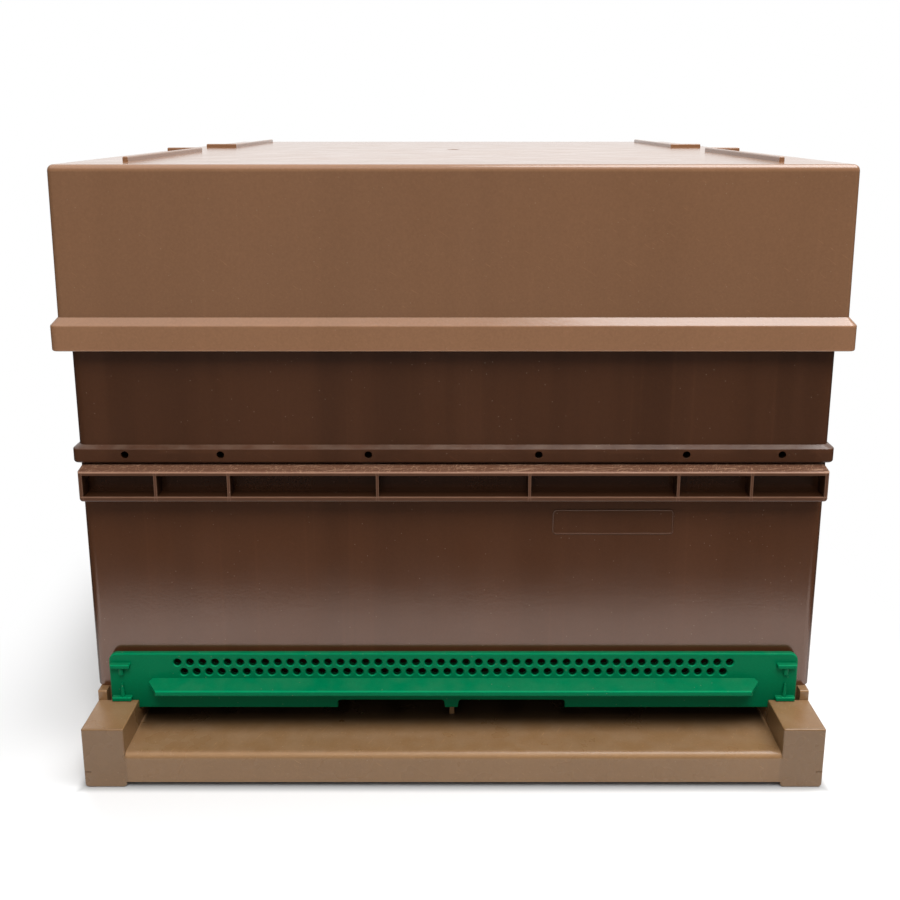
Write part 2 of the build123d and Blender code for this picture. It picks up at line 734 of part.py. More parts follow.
with BuildPart() as entrance_gate:
    with BuildSketch(gate_face) as gate_outline:
        with Locations((0, gate_z + gate_height / 2)):
            RectangleRounded(2 * gate_half, gate_height, gate_corner)
        for side in (-1, 1):
            with BuildLine():
                Polyline(
                    (notch_offset + side * tooth_foot / 2, gate_z),
                    (notch_offset + side * tooth_root / 2, gate_z + notch_height),
                    (notch_offset + side * notch_reach, gate_z + notch_height),
                    (notch_offset + side * notch_reach, gate_z),
                    close=True,
                )
            make_face(mode=Mode.SUBTRACT)
        fillet(
            gate_outline.vertices()
            .filter_by_position(Axis.Y, gate_z + notch_height, gate_z + notch_height)
            .filter_by_position(Axis.X, -notch_reach + 2 * notch_offset, notch_reach),
            notch_fillet,
        )
        for row, drop in enumerate(vent_row_drops):
            with Locations((0, gate_top - drop)):
                with GridLocations(vent_pitch, vent_pitch, vent_count - row, 1):
                    Circle(vent_radius, mode=Mode.SUBTRACT)
    extrude(amount=gate_thickness)
    gate_front = entrance_gate.faces().sort_by(Axis.Y)[0]
    chamfer(gate_front.edges().filter_by(GeomType.CIRCLE).filter_by(lambda e: e.is_closed), vent_rim)
    gate_front = entrance_gate.faces().sort_by(Axis.Y)[0]
    fillet(gate_front.outer_wire().edges(), gate_edge)
    add(visor.part)
    add(end_lug.part)
    add(end_lug.part.mirror(Plane.YZ))
entrance_gate.part.label = "entrance_gate"
export_step(entrance_gate.part, "parts/entrance_gate.step")

# Frames: top bar with lugs, end bars, bottom bar and foundation sheet
bar_inner = frame_half - end_bar_thickness
for number in range(1, frame_count + 1):
    frame_x = (number - (frame_count + 1) / 2) * frame_pitch
    frame_plane = Plane(origin=(frame_x, body_y, 0), x_dir=(0, 1, 0), z_dir=(1, 0, 0))
    with BuildPart() as top_bar:
        with BuildSketch(frame_plane):
            patch(-lug_half, lug_half, lug_ledge, frame_top)
            patch(-bar_inner, bar_inner, frame_top - top_bar_height, frame_top)
        extrude(amount=bar_width / 2, both=True)
        cut_level(lug_ledge)
    top_bar.part.label = f"frame_{number:02d}_top_bar"
    export_step(top_bar.part, f"parts/frame_{number:02d}_top_bar.step")

    with BuildPart() as end_bars:
        with BuildSketch(frame_plane):
            for side in (-1, 1):
                patch(side * bar_inner, side * frame_half, frame_bottom, lug_ledge)
        extrude(amount=bar_width / 2, both=True)
    end_bars.part.label = f"frame_{number:02d}_end_bars"
    export_step(end_bars.part, f"parts/frame_{number:02d}_end_bars.step")

    with BuildPart() as bottom_bar:
        with BuildSketch(frame_plane):
            patch(-bar_inner, bar_inner, frame_bottom, frame_bottom + bottom_bar_height)
        extrude(amount=bottom_bar_width / 2, both=True)
    bottom_bar.part.label = f"frame_{number:02d}_bottom_bar"
    export_step(bottom_bar.part, f"parts/frame_{number:02d}_bottom_bar.step")

    with BuildPart() as foundation:
        with BuildSketch(frame_plane):
            patch(
                -bar_inner + foundation_gap,
                bar_inner - foundation_gap,
                frame_bottom + bottom_bar_height,
                frame_top - top_bar_height,
            )
        extrude(amount=foundation_thickness / 2, both=True)
    foundation.part.label = f"frame_{number:02d}_foundation"
    export_step(foundation.part, f"parts/frame_{number:02d}_foundation.step")
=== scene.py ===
import math

import bpy
from bpy.props import FloatProperty, FloatVectorProperty, PointerProperty
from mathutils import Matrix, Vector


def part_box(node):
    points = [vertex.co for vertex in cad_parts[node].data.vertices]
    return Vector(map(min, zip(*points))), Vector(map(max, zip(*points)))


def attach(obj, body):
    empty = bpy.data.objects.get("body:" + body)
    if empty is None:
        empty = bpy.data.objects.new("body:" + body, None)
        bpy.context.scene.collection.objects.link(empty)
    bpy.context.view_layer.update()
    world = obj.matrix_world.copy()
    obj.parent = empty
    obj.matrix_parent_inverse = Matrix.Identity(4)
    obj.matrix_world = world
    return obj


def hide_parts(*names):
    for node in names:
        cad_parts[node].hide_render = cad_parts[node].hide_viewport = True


bl_info = {
    "name": "Plastic beehive",
    "version": (1, 0, 0),
    "blender": (4, 5, 0),
    "location": "3D View > Sidebar > Hive",
    "description": "Moulded finishes, wooden frames and wax sheets for a stacked plastic beehive",
    "category": "Object",
}

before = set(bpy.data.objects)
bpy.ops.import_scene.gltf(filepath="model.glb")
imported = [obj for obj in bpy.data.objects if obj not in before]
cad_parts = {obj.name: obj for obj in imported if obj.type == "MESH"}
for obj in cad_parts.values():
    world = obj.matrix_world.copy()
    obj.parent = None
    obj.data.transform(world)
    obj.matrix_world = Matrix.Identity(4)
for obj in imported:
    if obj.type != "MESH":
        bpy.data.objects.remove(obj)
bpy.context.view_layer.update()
FRAMES = [f"frame_{number:02d}" for number in range(1, 11)]

# Places on the CAD pieces that the finishes follow, in metres
ROOF_LIP_EDGE = 0.0009  # rounding at the foot of the roof's lip
ROOF_LIP_FACE = 0.0144  # upright face of the lip
ROOF_LIP = 0.0187  # lip with the slope above it
ROOF_CREST = 0.0037  # band that holds the rounded upper edge of the roof
FLANGE_FACE = 0.0083  # upright face of the flange
FLANGE_HOLES = (0.0026, 0.0073)  # foot and head of the band that holds its holes, above its underside
FLANGE_SPAN = 0.212  # all its holes are nearer than this to the middle of the hive
RIM_FOOT_PLATE = 0.0029  # lower plate of a finger rim
RIM_TOP_FALL = 0.0021  # top of a rim to just under its outer upper edge
RIM_RIBS = (0.0435, 0.1285, 0.1704, 0.2129)  # ribs and end walls, either side of the middle
INNER_HALF = 0.19  # middle of the hive to its inner side walls
LANDING_TOP = 0.0218  # top of the landing board above the ground
GATE_STAND = 0.0055  # front wall to the face of the gate
GATE_VENTS = (0.0151, 0.0029)  # foot and head of the band that holds the vents, below the gate's top
VISOR_DEPTH = 0.011  # face of the gate to the front of its visor
VISOR_FOOT = 0.0216  # lower edge of the visor's lip below the gate's top
VISOR_LIP = 0.0032  # height of the lip
PANEL_PLACE = (0.0935, 0.1495)  # middle of the bare panel, across and up
NAIL_INSET = 0.004  # outer face of an end bar to its nails
NAIL_ASIDE = 0.006  # middle of a top bar to its nails

# Tone of moulded plastic at its darkest and palest
TONES = (0.84, 1.16)

# Camera fitted to the photograph
CAMERA_PLACE = (0.0, -0.7878, 0.3814)
CAMERA_TILT = 77.8  # degrees up from straight down
CAMERA_LENS = 39.96  # millimetres on a sensor 36 wide
CAMERA_SHIFT = (-0.0039, -0.13)

# Soft lamps: name, property, place, size, and whether reflections show it
LAMPS = (
    ("Key lamp", "key", (0.15, -1.5, 2.1), 1.2, False),
    ("Fill lamp", "fill", (-0.5, -2.2, 0.6), 1.4, False),
    ("Top lamp", "top", (0.8, -0.25, 1.95), 1.7, True),
    ("Back lamp", "back", (-0.9, 1.6, 1.3), 1.4, False),
)
LAMP_AIM = 0.2  # height over the ground that the lamps point at
FLOOR_REACH = 9.0  # middle of the studio floor to its edges


def on_screen(*values):
    """Linear colour of the screen values 0 to 255."""
    parts = [value / 255 for value in values]
    return tuple(p / 12.92 if p < 0.04045 else ((p + 0.055) / 1.055) ** 2.4 for p in parts)


RIM_FACE = on_screen(118, 83, 65)
# Painted highlight on the outer edges of a finger rim
RIM_EDGE_HIGHLIGHT = on_screen(176, 136, 112)
RIM_TOP = on_screen(122, 86, 68)
RIM_SCRATCH = on_screen(182, 146, 120)
WAX_BLOOM = on_screen(240, 222, 168)
RUST = on_screen(112, 70, 42)


def grey(share):
    return (share, share, share)


def toned(colour, gain):
    """The same colour, lighter or darker."""
    return tuple(min(1.0, part * gain) for part in colour)


def colour_of(label, about, *values):
    return FloatVectorProperty(
        name=label, description=about, subtype="COLOR", size=3, min=0, max=1, default=on_screen(*values)
    )


def length_of(label, about, metres):
    return FloatProperty(
        name=label,
        description=about,
        unit="LENGTH",
        subtype="DISTANCE",
        min=0,
        precision=5,
        default=metres,
    )


def power_of(label, about, watts):
    return FloatProperty(
        name=label, description=about, unit="POWER", subtype="POWER", min=0, default=watts
    )


class HiveColours(bpy.types.PropertyGroup):
    """Colours of the hive's plastics, wood and wax"""

    roof: colour_of("Roof", "Mid brown of the roof and the crown board", 125, 90, 65)
    body: colour_of("Body", "Dark brown of the two body sections", 72, 43, 26)
    floor: colour_of("Floor", "Tan brown of the floor and its screen", 131, 99, 67)
    tray: colour_of("Tray", "Pale tan of the inspection tray", 150, 120, 93)
    gate: colour_of("Gate", "Green of the entrance gate", 0, 109, 69)
    wood: colour_of("Wood", "Planed softwood of the frames", 205, 172, 128)
    wax: colour_of("Wax", "Yellow of the foundation sheets", 220, 178, 84)
    steel: colour_of("Nails", "Bright steel of the frame nails", 176, 174, 170)
    dust: colour_of("Dust", "Pale dust on faces that look up", 190, 172, 152)


class HiveSizes(bpy.types.PropertyGroup):
    """Sizes of the small pieces that dress the hive"""

    cell: length_of("Cell", "Wax cell, flat to flat", 0.0054)
    relief: length_of("Relief", "Depth of the pressed cell bases", 0.00045)
    nail_radius: length_of("Nail head", "Radius of a frame nail's head", 0.0015)
    nail_height: length_of("Nail height", "How far a nail head stands above the wood", 0.0004)
    panel_width: length_of("Panel width", "Bare moulded panel on the front wall, across", 0.0703)
    panel_height: length_of("Panel height", "Bare moulded panel on the front wall, upright", 0.0147)
    panel_corner: length_of("Panel corner", "Corner radius of the bare panel", 0.0022)
    panel_line: length_of("Panel line", "Radius of the raised line round the bare panel", 0.0005)


class HiveStudio(bpy.types.PropertyGroup):
    """Light round the hive"""

    key: power_of("Key", "Large soft lamp in front, at the upper right", 41)
    fill: power_of("Fill", "Soft lamp low in front, at the left", 5)
    top: power_of("Top", "Soft lamp above, at the right", 36)
    back: power_of("Back", "Soft lamp behind, at the left", 18)
    room: FloatProperty(
        name="Room", description="Even light from above", subtype="FACTOR", min=0, max=1, default=0.32
    )


class Value:
    """A number socket; arithmetic on it adds Math nodes to its tree."""

    def __init__(self, nodes, socket):
        self.nodes = nodes
        self.socket = socket

    def math(self, operation, *terms):
        made = self.nodes.add("ShaderNodeMath", {"operation": operation}, dict(enumerate(terms)))
        return Value(self.nodes, made.outputs[0])

    def __add__(self, other):
        return self.math("ADD", self, other)

    __radd__ = __add__

    def __sub__(self, other):
        return self.math("SUBTRACT", self, other)

    def __rsub__(self, other):
        return self.math("SUBTRACT", other, self)

    def __mul__(self, other):
        return self.math("MULTIPLY", self, other)

    def __truediv__(self, other):
        return self.math("DIVIDE", self, other)

    def __mod__(self, other):
        return self.math("FLOORED_MODULO", self, other)

    def __abs__(self):
        return self.math("ABSOLUTE", self)

    def floor(self):
        return self.math("FLOOR", self)

    def round(self):
        return self.math("ROUND", self)

    def least(self, other):
        return self.math("MINIMUM", self, other)

    def most(self, other):
        return self.math("MAXIMUM", self, other)

    def ramp(self, low, high):
        """0 up to low, 1 from high on, and smooth between."""
        made = self.nodes.add(
            "ShaderNodeMapRange",
            {"interpolation_type": "SMOOTHSTEP"},
            {"Value": self, "From Min": low, "From Max": high},
        )
        return Value(self.nodes, made.outputs[0])

    def between(self, low, high, soft):
        """1 from low to high, 0 a soft step outside them."""
        return self.ramp(low - soft, low) * (1 - self.ramp(high, high + soft))


class Nodes:
    """A node tree that is being laid out."""

    def __init__(self, tree):
        self.tree = tree
        tree.nodes.clear()

    def add(self, kind, settings=None, sockets=None):
        """A node of a kind: its settings first, then the values or links of its sockets."""
        made = self.tree.nodes.new(kind)
        for key, value in (settings or {}).items():
            setattr(made, key, value)
        for key, value in (sockets or {}).items():
            self.feed(made.inputs[key], value)
        return made

    def feed(self, socket, value):
        if isinstance(value, Value):
            value = value.socket
        elif isinstance(value, bpy.types.Node):
            value = value.outputs[0]
        if isinstance(value, bpy.types.NodeSocket):
            self.tree.links.new(value, socket)
        elif socket.type == "RGBA":
            socket.default_value = (*value, 1.0)
        else:
            socket.default_value = value

    def number(self, kind, settings, sockets, output=0):
        return Value(self, self.add(kind, settings, sockets).outputs[output])

    def parts(self, vector):
        """The three numbers of a vector."""
        split = self.add("ShaderNodeSeparateXYZ", {}, {0: vector})
        return [Value(self, socket) for socket in split.outputs]

    def rays(self, *kinds):
        """1 for a ray of any of these kinds."""
        path = self.add("ShaderNodeLightPath")
        found = Value(self, path.outputs[f"Is {kinds[0]} Ray"])
        for kind in kinds[1:]:
            found = found.most(Value(self, path.outputs[f"Is {kind} Ray"]))
        return found


class Finish(Nodes):
    """A material on Object coordinates, in metres."""

    def __init__(self, name):
        self.material = bpy.data.materials.new(name)
        self.material.use_nodes = True
        super().__init__(self.material.node_tree)
        self.place = self.add("ShaderNodeTexCoord").outputs["Object"]
        self.x, self.y, self.z = self.parts(self.place)
        self.up = self.parts(self.add("ShaderNodeNewGeometry").outputs["Normal"])[2]

    def scaled(self, size, turn=(0, 0, 0), shift=(0, 0, 0)):
        """Place in steps of this size along each axis, the axes turned first."""
        return self.add(
            "ShaderNodeMapping",
            {"vector_type": "TEXTURE"},
            {"Vector": self.place, "Scale": size, "Rotation": turn, "Location": shift},
        )

    def cloud(self, size, stretch=(1, 1, 1), detail=2.0, turn=(0, 0, 0), shift=(0, 0, 0)):
        """Soft noise whose blots have about this size, longer where stretch is large."""
        place = self.scaled([size * part for part in stretch], turn, shift)
        return self.number("ShaderNodeTexNoise", {}, {"Vector": place, "Scale": 1.0, "Detail": detail})

    def specks(self, pitch, radius, share):
        """Round specks, about one to a cell of the pitch, in a share of the cells."""
        cells = self.add("ShaderNodeTexVoronoi", {}, {"Vector": self.scaled([pitch] * 3), "Scale": 1.0})
        near = Value(self, cells.outputs["Distance"])
        pick = self.parts(cells.outputs["Color"])[0]
        return (1 - near.ramp(0.5 * radius / pitch, radius / pitch)) * pick.ramp(1 - share, 1.01 - share)

    def scratches(self, length, width, level):
        """Short thin marks in the front, top and side faces, fewer at a higher level."""
        marks = 0.0
        for turn in ((0, 0.6, 0), (0, 0, 1.1), (0, 0.5, math.pi / 2)):
            marks = self.cloud(width, (length / width, 1, 1), 0.0, turn).ramp(level, level + 0.05) + marks
        return marks

    def near_height(self, heights, reach):
        """1 at each height, 0 a reach away from it."""
        mask = 0.0
        for height in heights:
            mask = 1 - abs(self.z - height).ramp(0.25 * reach, reach) + mask
        return mask

    def mix(self, factor, below, above):
        made = self.add("ShaderNodeMix", {"data_type": "RGBA"}, {0: factor, 6: below, 7: above})
        return made.outputs[2]

    def done(self, colour, roughness, height, depth, others=None):
        """Joins the shader; height is in parts of depth, others are further sockets of the shader."""
        bump = self.add("ShaderNodeBump", {}, {"Strength": 1.0, "Distance": depth, "Height": height})
        sockets = {"Base Color": colour, "Roughness": roughness, "Normal": bump}
        shader = self.add("ShaderNodeBsdfPrincipled", {}, {**sockets, **(others or {})})
        self.add("ShaderNodeOutputMaterial", {}, {"Surface": shader})
        return self.material


class Shape(Nodes):
    """A Geometry Nodes tree with named inputs, run on an object of its own."""

    KINDS = {int: "NodeSocketInt", float: "NodeSocketFloat", tuple: "NodeSocketVector"}

    def __init__(self, name, **sizes):
        super().__init__(bpy.data.node_groups.new(name, "GeometryNodeTree"))
        self.tree.interface.new_socket("Geometry", in_out="OUTPUT", socket_type="NodeSocketGeometry")
        self.keys = {}
        for label, value in sizes.items():
            kind = self.KINDS[type(value)]
            made = self.tree.interface.new_socket(label, in_out="INPUT", socket_type=kind)
            made.default_value = value
            self.keys[label] = made.identifier
        self.given = self.add("NodeGroupInput")

    def size(self, label):
        return Value(self, self.given.outputs[label])

    def vector(self, x, y, z):
        return self.add("ShaderNodeCombineXYZ", {}, {0: x, 1: y, 2: z})

    def end(self, geometry, material):
        real = self.add("GeometryNodeRealizeInstances", {}, {0: geometry})
        painted = self.add("GeometryNodeSetMaterial", {}, {0: real, "Material": material})
        self.add("NodeGroupOutput", {}, {0: painted})

    def make(self, name, **sizes):
        """Runs the tree and keeps the result as a plain mesh."""
        start = bpy.data.meshes.new(name)
        piece = bpy.data.objects.new(name, start)
        bpy.context.scene.collection.objects.link(piece)
        modifier = piece.modifiers.new("Shape", "NODES")
        modifier.node_group = self.tree
        for label, value in sizes.items():
            modifier[self.keys[label]] = value
        solved = piece.evaluated_get(bpy.context.evaluated_depsgraph_get())
        mesh = bpy.data.meshes.new_from_object(solved)
        piece.modifiers.remove(modifier)
        piece.data = mesh
        mesh.name = name
        bpy.data.meshes.remove(start)
        if not mesh.polygons:
            raise RuntimeError(f"{name} came out empty")
        return piece


def dress(material, *nodes):
    """Gives carried-over nodes their finish."""
    for node in nodes:
        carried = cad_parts[node]
        if not carried.material_slots:
            carried.data.materials.append(material)
        for slot in carried.material_slots:
            slot.material = material


def moulded(
    name,
    colour,
    dust,
    rough=0.3,
    gloss=0.5,
    tint=(1.0, 1.0, 1.0),
    flow=0.3,
    film=0.1,
    marks=0.3,
    wave=0.0,
    polish=0.0,
    edges=0.0,
    wear_and_highlight=(),
    bands=(),
    painted_shade=None,
    pale=None,
):
    """Moulded plastic: cloudy tone, flow lines, fine grain, dust specks, scratches and painted edge
    highlights.

    flow, film, marks, polish and edges are the strength of flow lines, dust, scratches, a smooth top and
    painted highlights where faces turn up. The list of heights gets patchy paler lines, part wear and part
    painted highlight; bands lists (low, high, gain) of paler tone; the last two make masks of painted shade
    and of painted highlight lines.
    """
    skin = Finish(name)
    darkest, palest = TONES
    grain = skin.cloud(0.0013, detail=2)
    streaks = skin.cloud(0.03, (1, 1, 20), detail=4).ramp(0.36, 0.62)
    lines = skin.cloud(0.004, (1, 1, 60), detail=1).ramp(0.66, 0.74)
    tone = (
        0.5
        + (skin.cloud(0.14, detail=3) - 0.5) * 0.5
        + (streaks - 0.5 + lines * 0.5) * flow
        + (grain - 0.5) * 0.7
    )
    base = skin.mix(tone, toned(colour, darkest), toned(colour, palest))
    for low, high, gain in bands:
        paler = skin.mix(tone, toned(colour, darkest * gain), toned(colour, palest * gain))
        base = skin.mix(skin.z.between(low + 0.0005, high - 0.0005, 0.001), base, paler)
    lying = skin.up.ramp(0.4, 0.95) * skin.cloud(0.011, detail=4).ramp(0.3, 0.75) * film
    base = skin.mix(lying, base, dust)
    base = skin.mix(skin.scratches(0.008, 0.0006, 0.8) * marks, base, toned(colour, 2.4))
    base = skin.mix(skin.specks(0.0038, 0.0004, 0.4) * marks, base, dust)
    # Painted highlights on edges and slopes that turn upwards, in patches.
    if edges:
        turned = skin.up.ramp(0.2, 0.5) * (1 - skin.up.ramp(0.8, 0.96))
        patchy = 0.4 + skin.cloud(0.01, detail=3) * 0.6
        base = skin.mix(turned * patchy * edges, base, toned(colour, 1.7))
    # Painted shade: the mask darkens the colour nearly to black.
    if painted_shade:
        base = skin.mix(painted_shade(skin) * 0.92, base, toned(colour, 0.05))
    # Painted highlight lines from the mask.
    if pale:
        base = skin.mix(pale(skin), base, toned(colour, 2.0))
    rough_all = rough + (skin.cloud(0.03, detail=3) - 0.5) * 0.1 + lying * 0.3
    # Patchy paler lines at the given heights: part wear, part painted highlight.
    if wear_and_highlight:
        rubbed = skin.near_height(wear_and_highlight, 0.0018) * skin.cloud(0.014, detail=4).ramp(0.42, 0.66)
        base = skin.mix(rubbed * 0.4, base, toned(colour, 1.5))
    height = grain * 0.5 + skin.cloud(0.0032, detail=2) * 0.4 + skin.cloud(0.09, detail=1) * wave
    if polish:
        height = height * (1 - skin.up.ramp(0.6, 0.98) * polish)
    others = {"Specular IOR Level": gloss, "Specular Tint": tint}
    return skin.done(base, rough_all, height, 0.00005, others)


def painted_entrance_shade(front, pillars):
    """Painted shade on the landing board at the entrance and into it, and a little on the faces of the
    pillars.
    """

    def mask(skin):
        board = 1 - skin.z.ramp(LANDING_TOP + 0.0001, LANDING_TOP + 0.0007)
        before = skin.y.ramp(front - 0.017, front + 0.001)
        within = 1 - skin.y.ramp(front + 0.026, front + 0.056)
        middle = 1 - abs(skin.x).ramp(INNER_HALF - 0.002, INNER_HALF)
        faces = (1 - skin.y.ramp(pillars + 0.0005, pillars + 0.0015)) * (1 - middle) * 0.22
        return (before * within * board * middle).most(faces)

    return mask


def behind_gate(gate, rim, wall):
    """Painted shade on the wall that the gate covers, and in the backs of the front finger pockets."""
    half, top = gate[1].x, gate[1].z
    foot, head, end = rim[0].z + RIM_FOOT_PLATE, rim[1].z, rim[1].x

    def mask(skin):
        across = 1 - abs(skin.x).ramp(half - 0.012, half - 0.004)
        covered = across * (1 - skin.z.ramp(top - 0.004, top - 0.001))
        pockets = skin.z.ramp(foot - 0.0002, foot + 0.0002) * (1 - skin.z.ramp(head - 0.002, head))
        pockets = pockets * (1 - abs(skin.x).ramp(end - 0.002, end))
        return (covered * 0.8).most(pockets * 0.5) * (1 - skin.y.ramp(wall, wall + 0.01))

    return mask


def in_holes(low, high):
    """Painted shade in the holes of the flange, front and back, from a little behind its outer faces."""
    middle, reach = (low.y + high.y) / 2, (high.y - low.y) / 2
    foot, head = (low.z + height for height in FLANGE_HOLES)

    def mask(skin):
        depth = reach - abs(skin.y - middle)
        sunk = depth.between(0.001, 0.012, 0.0005) * skin.z.between(foot, head, 0.0004)
        return sunk * (1 - abs(skin.x).ramp(FLANGE_SPAN, FLANGE_SPAN + 0.001))

    return mask


def in_vents(face, top):
    """Painted shade on the vent holes' walls and a painted shadow low on the gate's face, darkest at its
    foot.
    """
    foot, head = (top - drop for drop in GATE_VENTS)

    def mask(skin):
        depth = skin.y - face
        sunk = depth.ramp(0.0004, 0.0008) * (1 - depth.ramp(0.0027, 0.0029))
        low = (1 - skin.z.ramp(top - 0.032, top - 0.012)) * depth.ramp(-0.0006, -0.0002)
        return (sunk * skin.z.between(foot, head, 0.0003)).most(low * 0.3)

    return mask


def lip_lines(face, foot):
    """Painted highlight lines along the edges of the visor's lip."""
    front = face - VISOR_DEPTH

    def mask(skin):
        lines = skin.near_height((foot, foot + VISOR_LIP), 0.0006)
        return lines * (1 - skin.y.ramp(front + 0.0005, front + 0.0015)) * 0.35

    return mask


def scuffed_rim(name, colour, dust, middle, reach, heights, ribs):
    """Body plastic of a finger rim: pale scratches on top, painted shade in pockets, painted edge
    highlights.

    heights lists where painted highlight lines run: foot and head of the lower plate, the upper edge and
    the top. ribs lists the places of the ribs and end walls beside the middle.
    """
    skin = Finish(name)
    grain = skin.cloud(0.0013, detail=2)
    tone = 0.5 + (skin.cloud(0.1, detail=3) - 0.5) * 0.5 + (grain - 0.5) * 0.8
    base = skin.mix(tone, *(toned(colour, gain) for gain in TONES))
    outer = abs(skin.y - middle).ramp(reach - 0.0016, reach - 0.0006)
    head, top = heights[-2:]
    upper = skin.z.ramp(head - 0.0004, head + 0.0002)
    edges = skin.near_height(heights, 0.0006)
    for offset in ribs:
        aside = abs(abs(skin.x) - offset)
        edges = edges + aside.between(0.0006, 0.0009, 0.0003) * 0.5
    # Painted shade inside the finger pockets.
    inside = (1 - outer) * (1 - skin.z.ramp(head - 0.0004, head))
    base = skin.mix(inside * 0.6, base, toned(colour, 0.2))
    base = skin.mix(outer * (0.2 + upper * 0.4), base, RIM_FACE)
    # Painted highlight lines along the outer edges and beside the ribs, in patches.
    highlight_patches = (0.35 + skin.cloud(0.012, detail=3) * 0.5) * (0.55 + upper * 0.45)
    base = skin.mix(outer * edges.least(1.0) * highlight_patches, base, RIM_EDGE_HIGHLIGHT)
    lying = skin.up.ramp(0.4, 0.9) * skin.z.ramp(top - 0.004, top - 0.003)
    base = skin.mix(lying * 0.45, base, RIM_TOP)
    speckle = skin.cloud(0.0018, detail=3).ramp(0.5, 0.75) * 0.12
    where = skin.cloud(0.05, detail=3).ramp(0.45, 0.6)
    drag = skin.cloud(0.0008, (18, 1, 1), 1.0, (0, 0, 0.12)).ramp(0.6, 0.7) * where
    rubbed = lying * (speckle + drag + skin.scratches(0.006, 0.0007, 0.7) * 0.7).least(1.0)
    base = skin.mix(rubbed * 0.7, base, RIM_SCRATCH)
    base = skin.mix(skin.specks(0.006, 0.0005, 0.4) * 0.35, base, dust)
    rough = 0.36 + (skin.cloud(0.03, detail=3) - 0.5) * 0.12 + rubbed * 0.15
    height = grain * 0.6 + skin.cloud(0.0032, detail=2) * 0.5 - rubbed * 0.8
    return skin.done(base, rough, height, 0.00006, {"Specular IOR Level": 0.4})


def planed_wood(name, colour, along):
    """Planed softwood whose grain runs along one axis."""
    wood = Finish(name)
    stretch = [1, 1, 1]
    stretch[along] = 20
    rings = wood.cloud(0.03, stretch, detail=2)
    bands = abs((rings * 11) % 1 - 0.5) * 2
    pores = wood.cloud(0.0011, stretch, detail=2).ramp(0.55, 0.75)
    base = wood.mix(bands.ramp(0.05, 0.9), toned(colour, 0.78), toned(colour, 1.08))
    base = wood.mix(pores * 0.3, base, toned(colour, 0.62))
    base = wood.mix(wood.cloud(0.06, detail=2).ramp(0.5, 0.8) * 0.3, base, toned(colour, 0.85))
    knots = wood.specks(0.09, 0.005, 0.25)
    base = wood.mix(knots * 0.7, base, toned(colour, 0.3))
    rough = 0.62 + (bands - 0.5) * 0.1 + pores * 0.1
    height = bands * 0.5 - pores * 0.8 + wood.cloud(0.0008, detail=1) * 0.3
    return wood.done(base, rough, height, 0.00008, {"Specular IOR Level": 0.35})


def pressed_wax(name, colour):
    """Beeswax sheet: uneven yellow with a pale bloom."""
    wax = Finish(name)
    tone = wax.cloud(0.07, detail=4)
    base = wax.mix(tone.ramp(0.25, 0.75), toned(colour, 0.82), toned(colour, 1.1))
    bloom = wax.cloud(0.025, detail=4, shift=(0.13, 0.05, 0.18)).ramp(0.52, 0.72)
    base = wax.mix(bloom * 0.3, base, WAX_BLOOM)
    base = wax.mix(wax.specks(0.012, 0.0008, 0.3) * 0.5, base, toned(colour, 0.4))
    rough = 0.46 + bloom * 0.14 + (wax.cloud(0.012) - 0.5) * 0.1
    height = wax.cloud(0.0014, detail=2)
    return wax.done(base, rough, height, 0.00005, {"Specular IOR Level": 0.45})


def nail_steel(name, colour):
    """Steel wire nail heads with rust freckles."""
    steel = Finish(name)
    rust = steel.cloud(0.0009, detail=3).ramp(0.55, 0.7)
    base = steel.mix(rust * 0.7, colour, RUST)
    height = steel.cloud(0.0005, detail=2)
    return steel.done(base, 0.34 + rust * 0.4, height, 0.00005, {"Metallic": 1 - rust})


class HIVE_OT_roof(bpy.types.Operator):
    """Finish the roof and its stacking ribs"""

    bl_idname = "hive.roof"
    bl_label = "Roof"

    def execute(self, context):
        colours = context.scene.hive_colours
        foot, crest = (corner.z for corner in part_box("roof"))
        made = moulded(
            "Roof brown",
            colours.roof,
            colours.dust,
            rough=0.15,
            gloss=0.9,
            flow=0.12,
            film=0.04,
            marks=0.15,
            polish=0.8,
            # Paler lines at the lip's foot and top: part wear, part painted highlight.
            wear_and_highlight=(foot, foot + ROOF_LIP_FACE),
            bands=(
                (-1.0, foot + ROOF_LIP, 1.3),
                # Painted highlight on the rounded foot of the lip.
                (-1.0, foot + ROOF_LIP_EDGE, 1.75),
                # Painted highlight from just below the rounded upper edge over the top.
                (crest - ROOF_CREST, 1.0, 1.25),
            ),
        )
        dress(made, "roof", "roof_stack_ribs")
        return {"FINISHED"}


class HIVE_OT_crown_board(bpy.types.Operator):
    """Finish the crown board under the roof"""

    bl_idname = "hive.crown_board"
    bl_label = "Crown board"

    def execute(self, context):
        colours = context.scene.hive_colours
        dress(moulded("Board brown", colours.roof, colours.dust, rough=0.42, film=0.25), "crown_board")
        return {"FINISHED"}


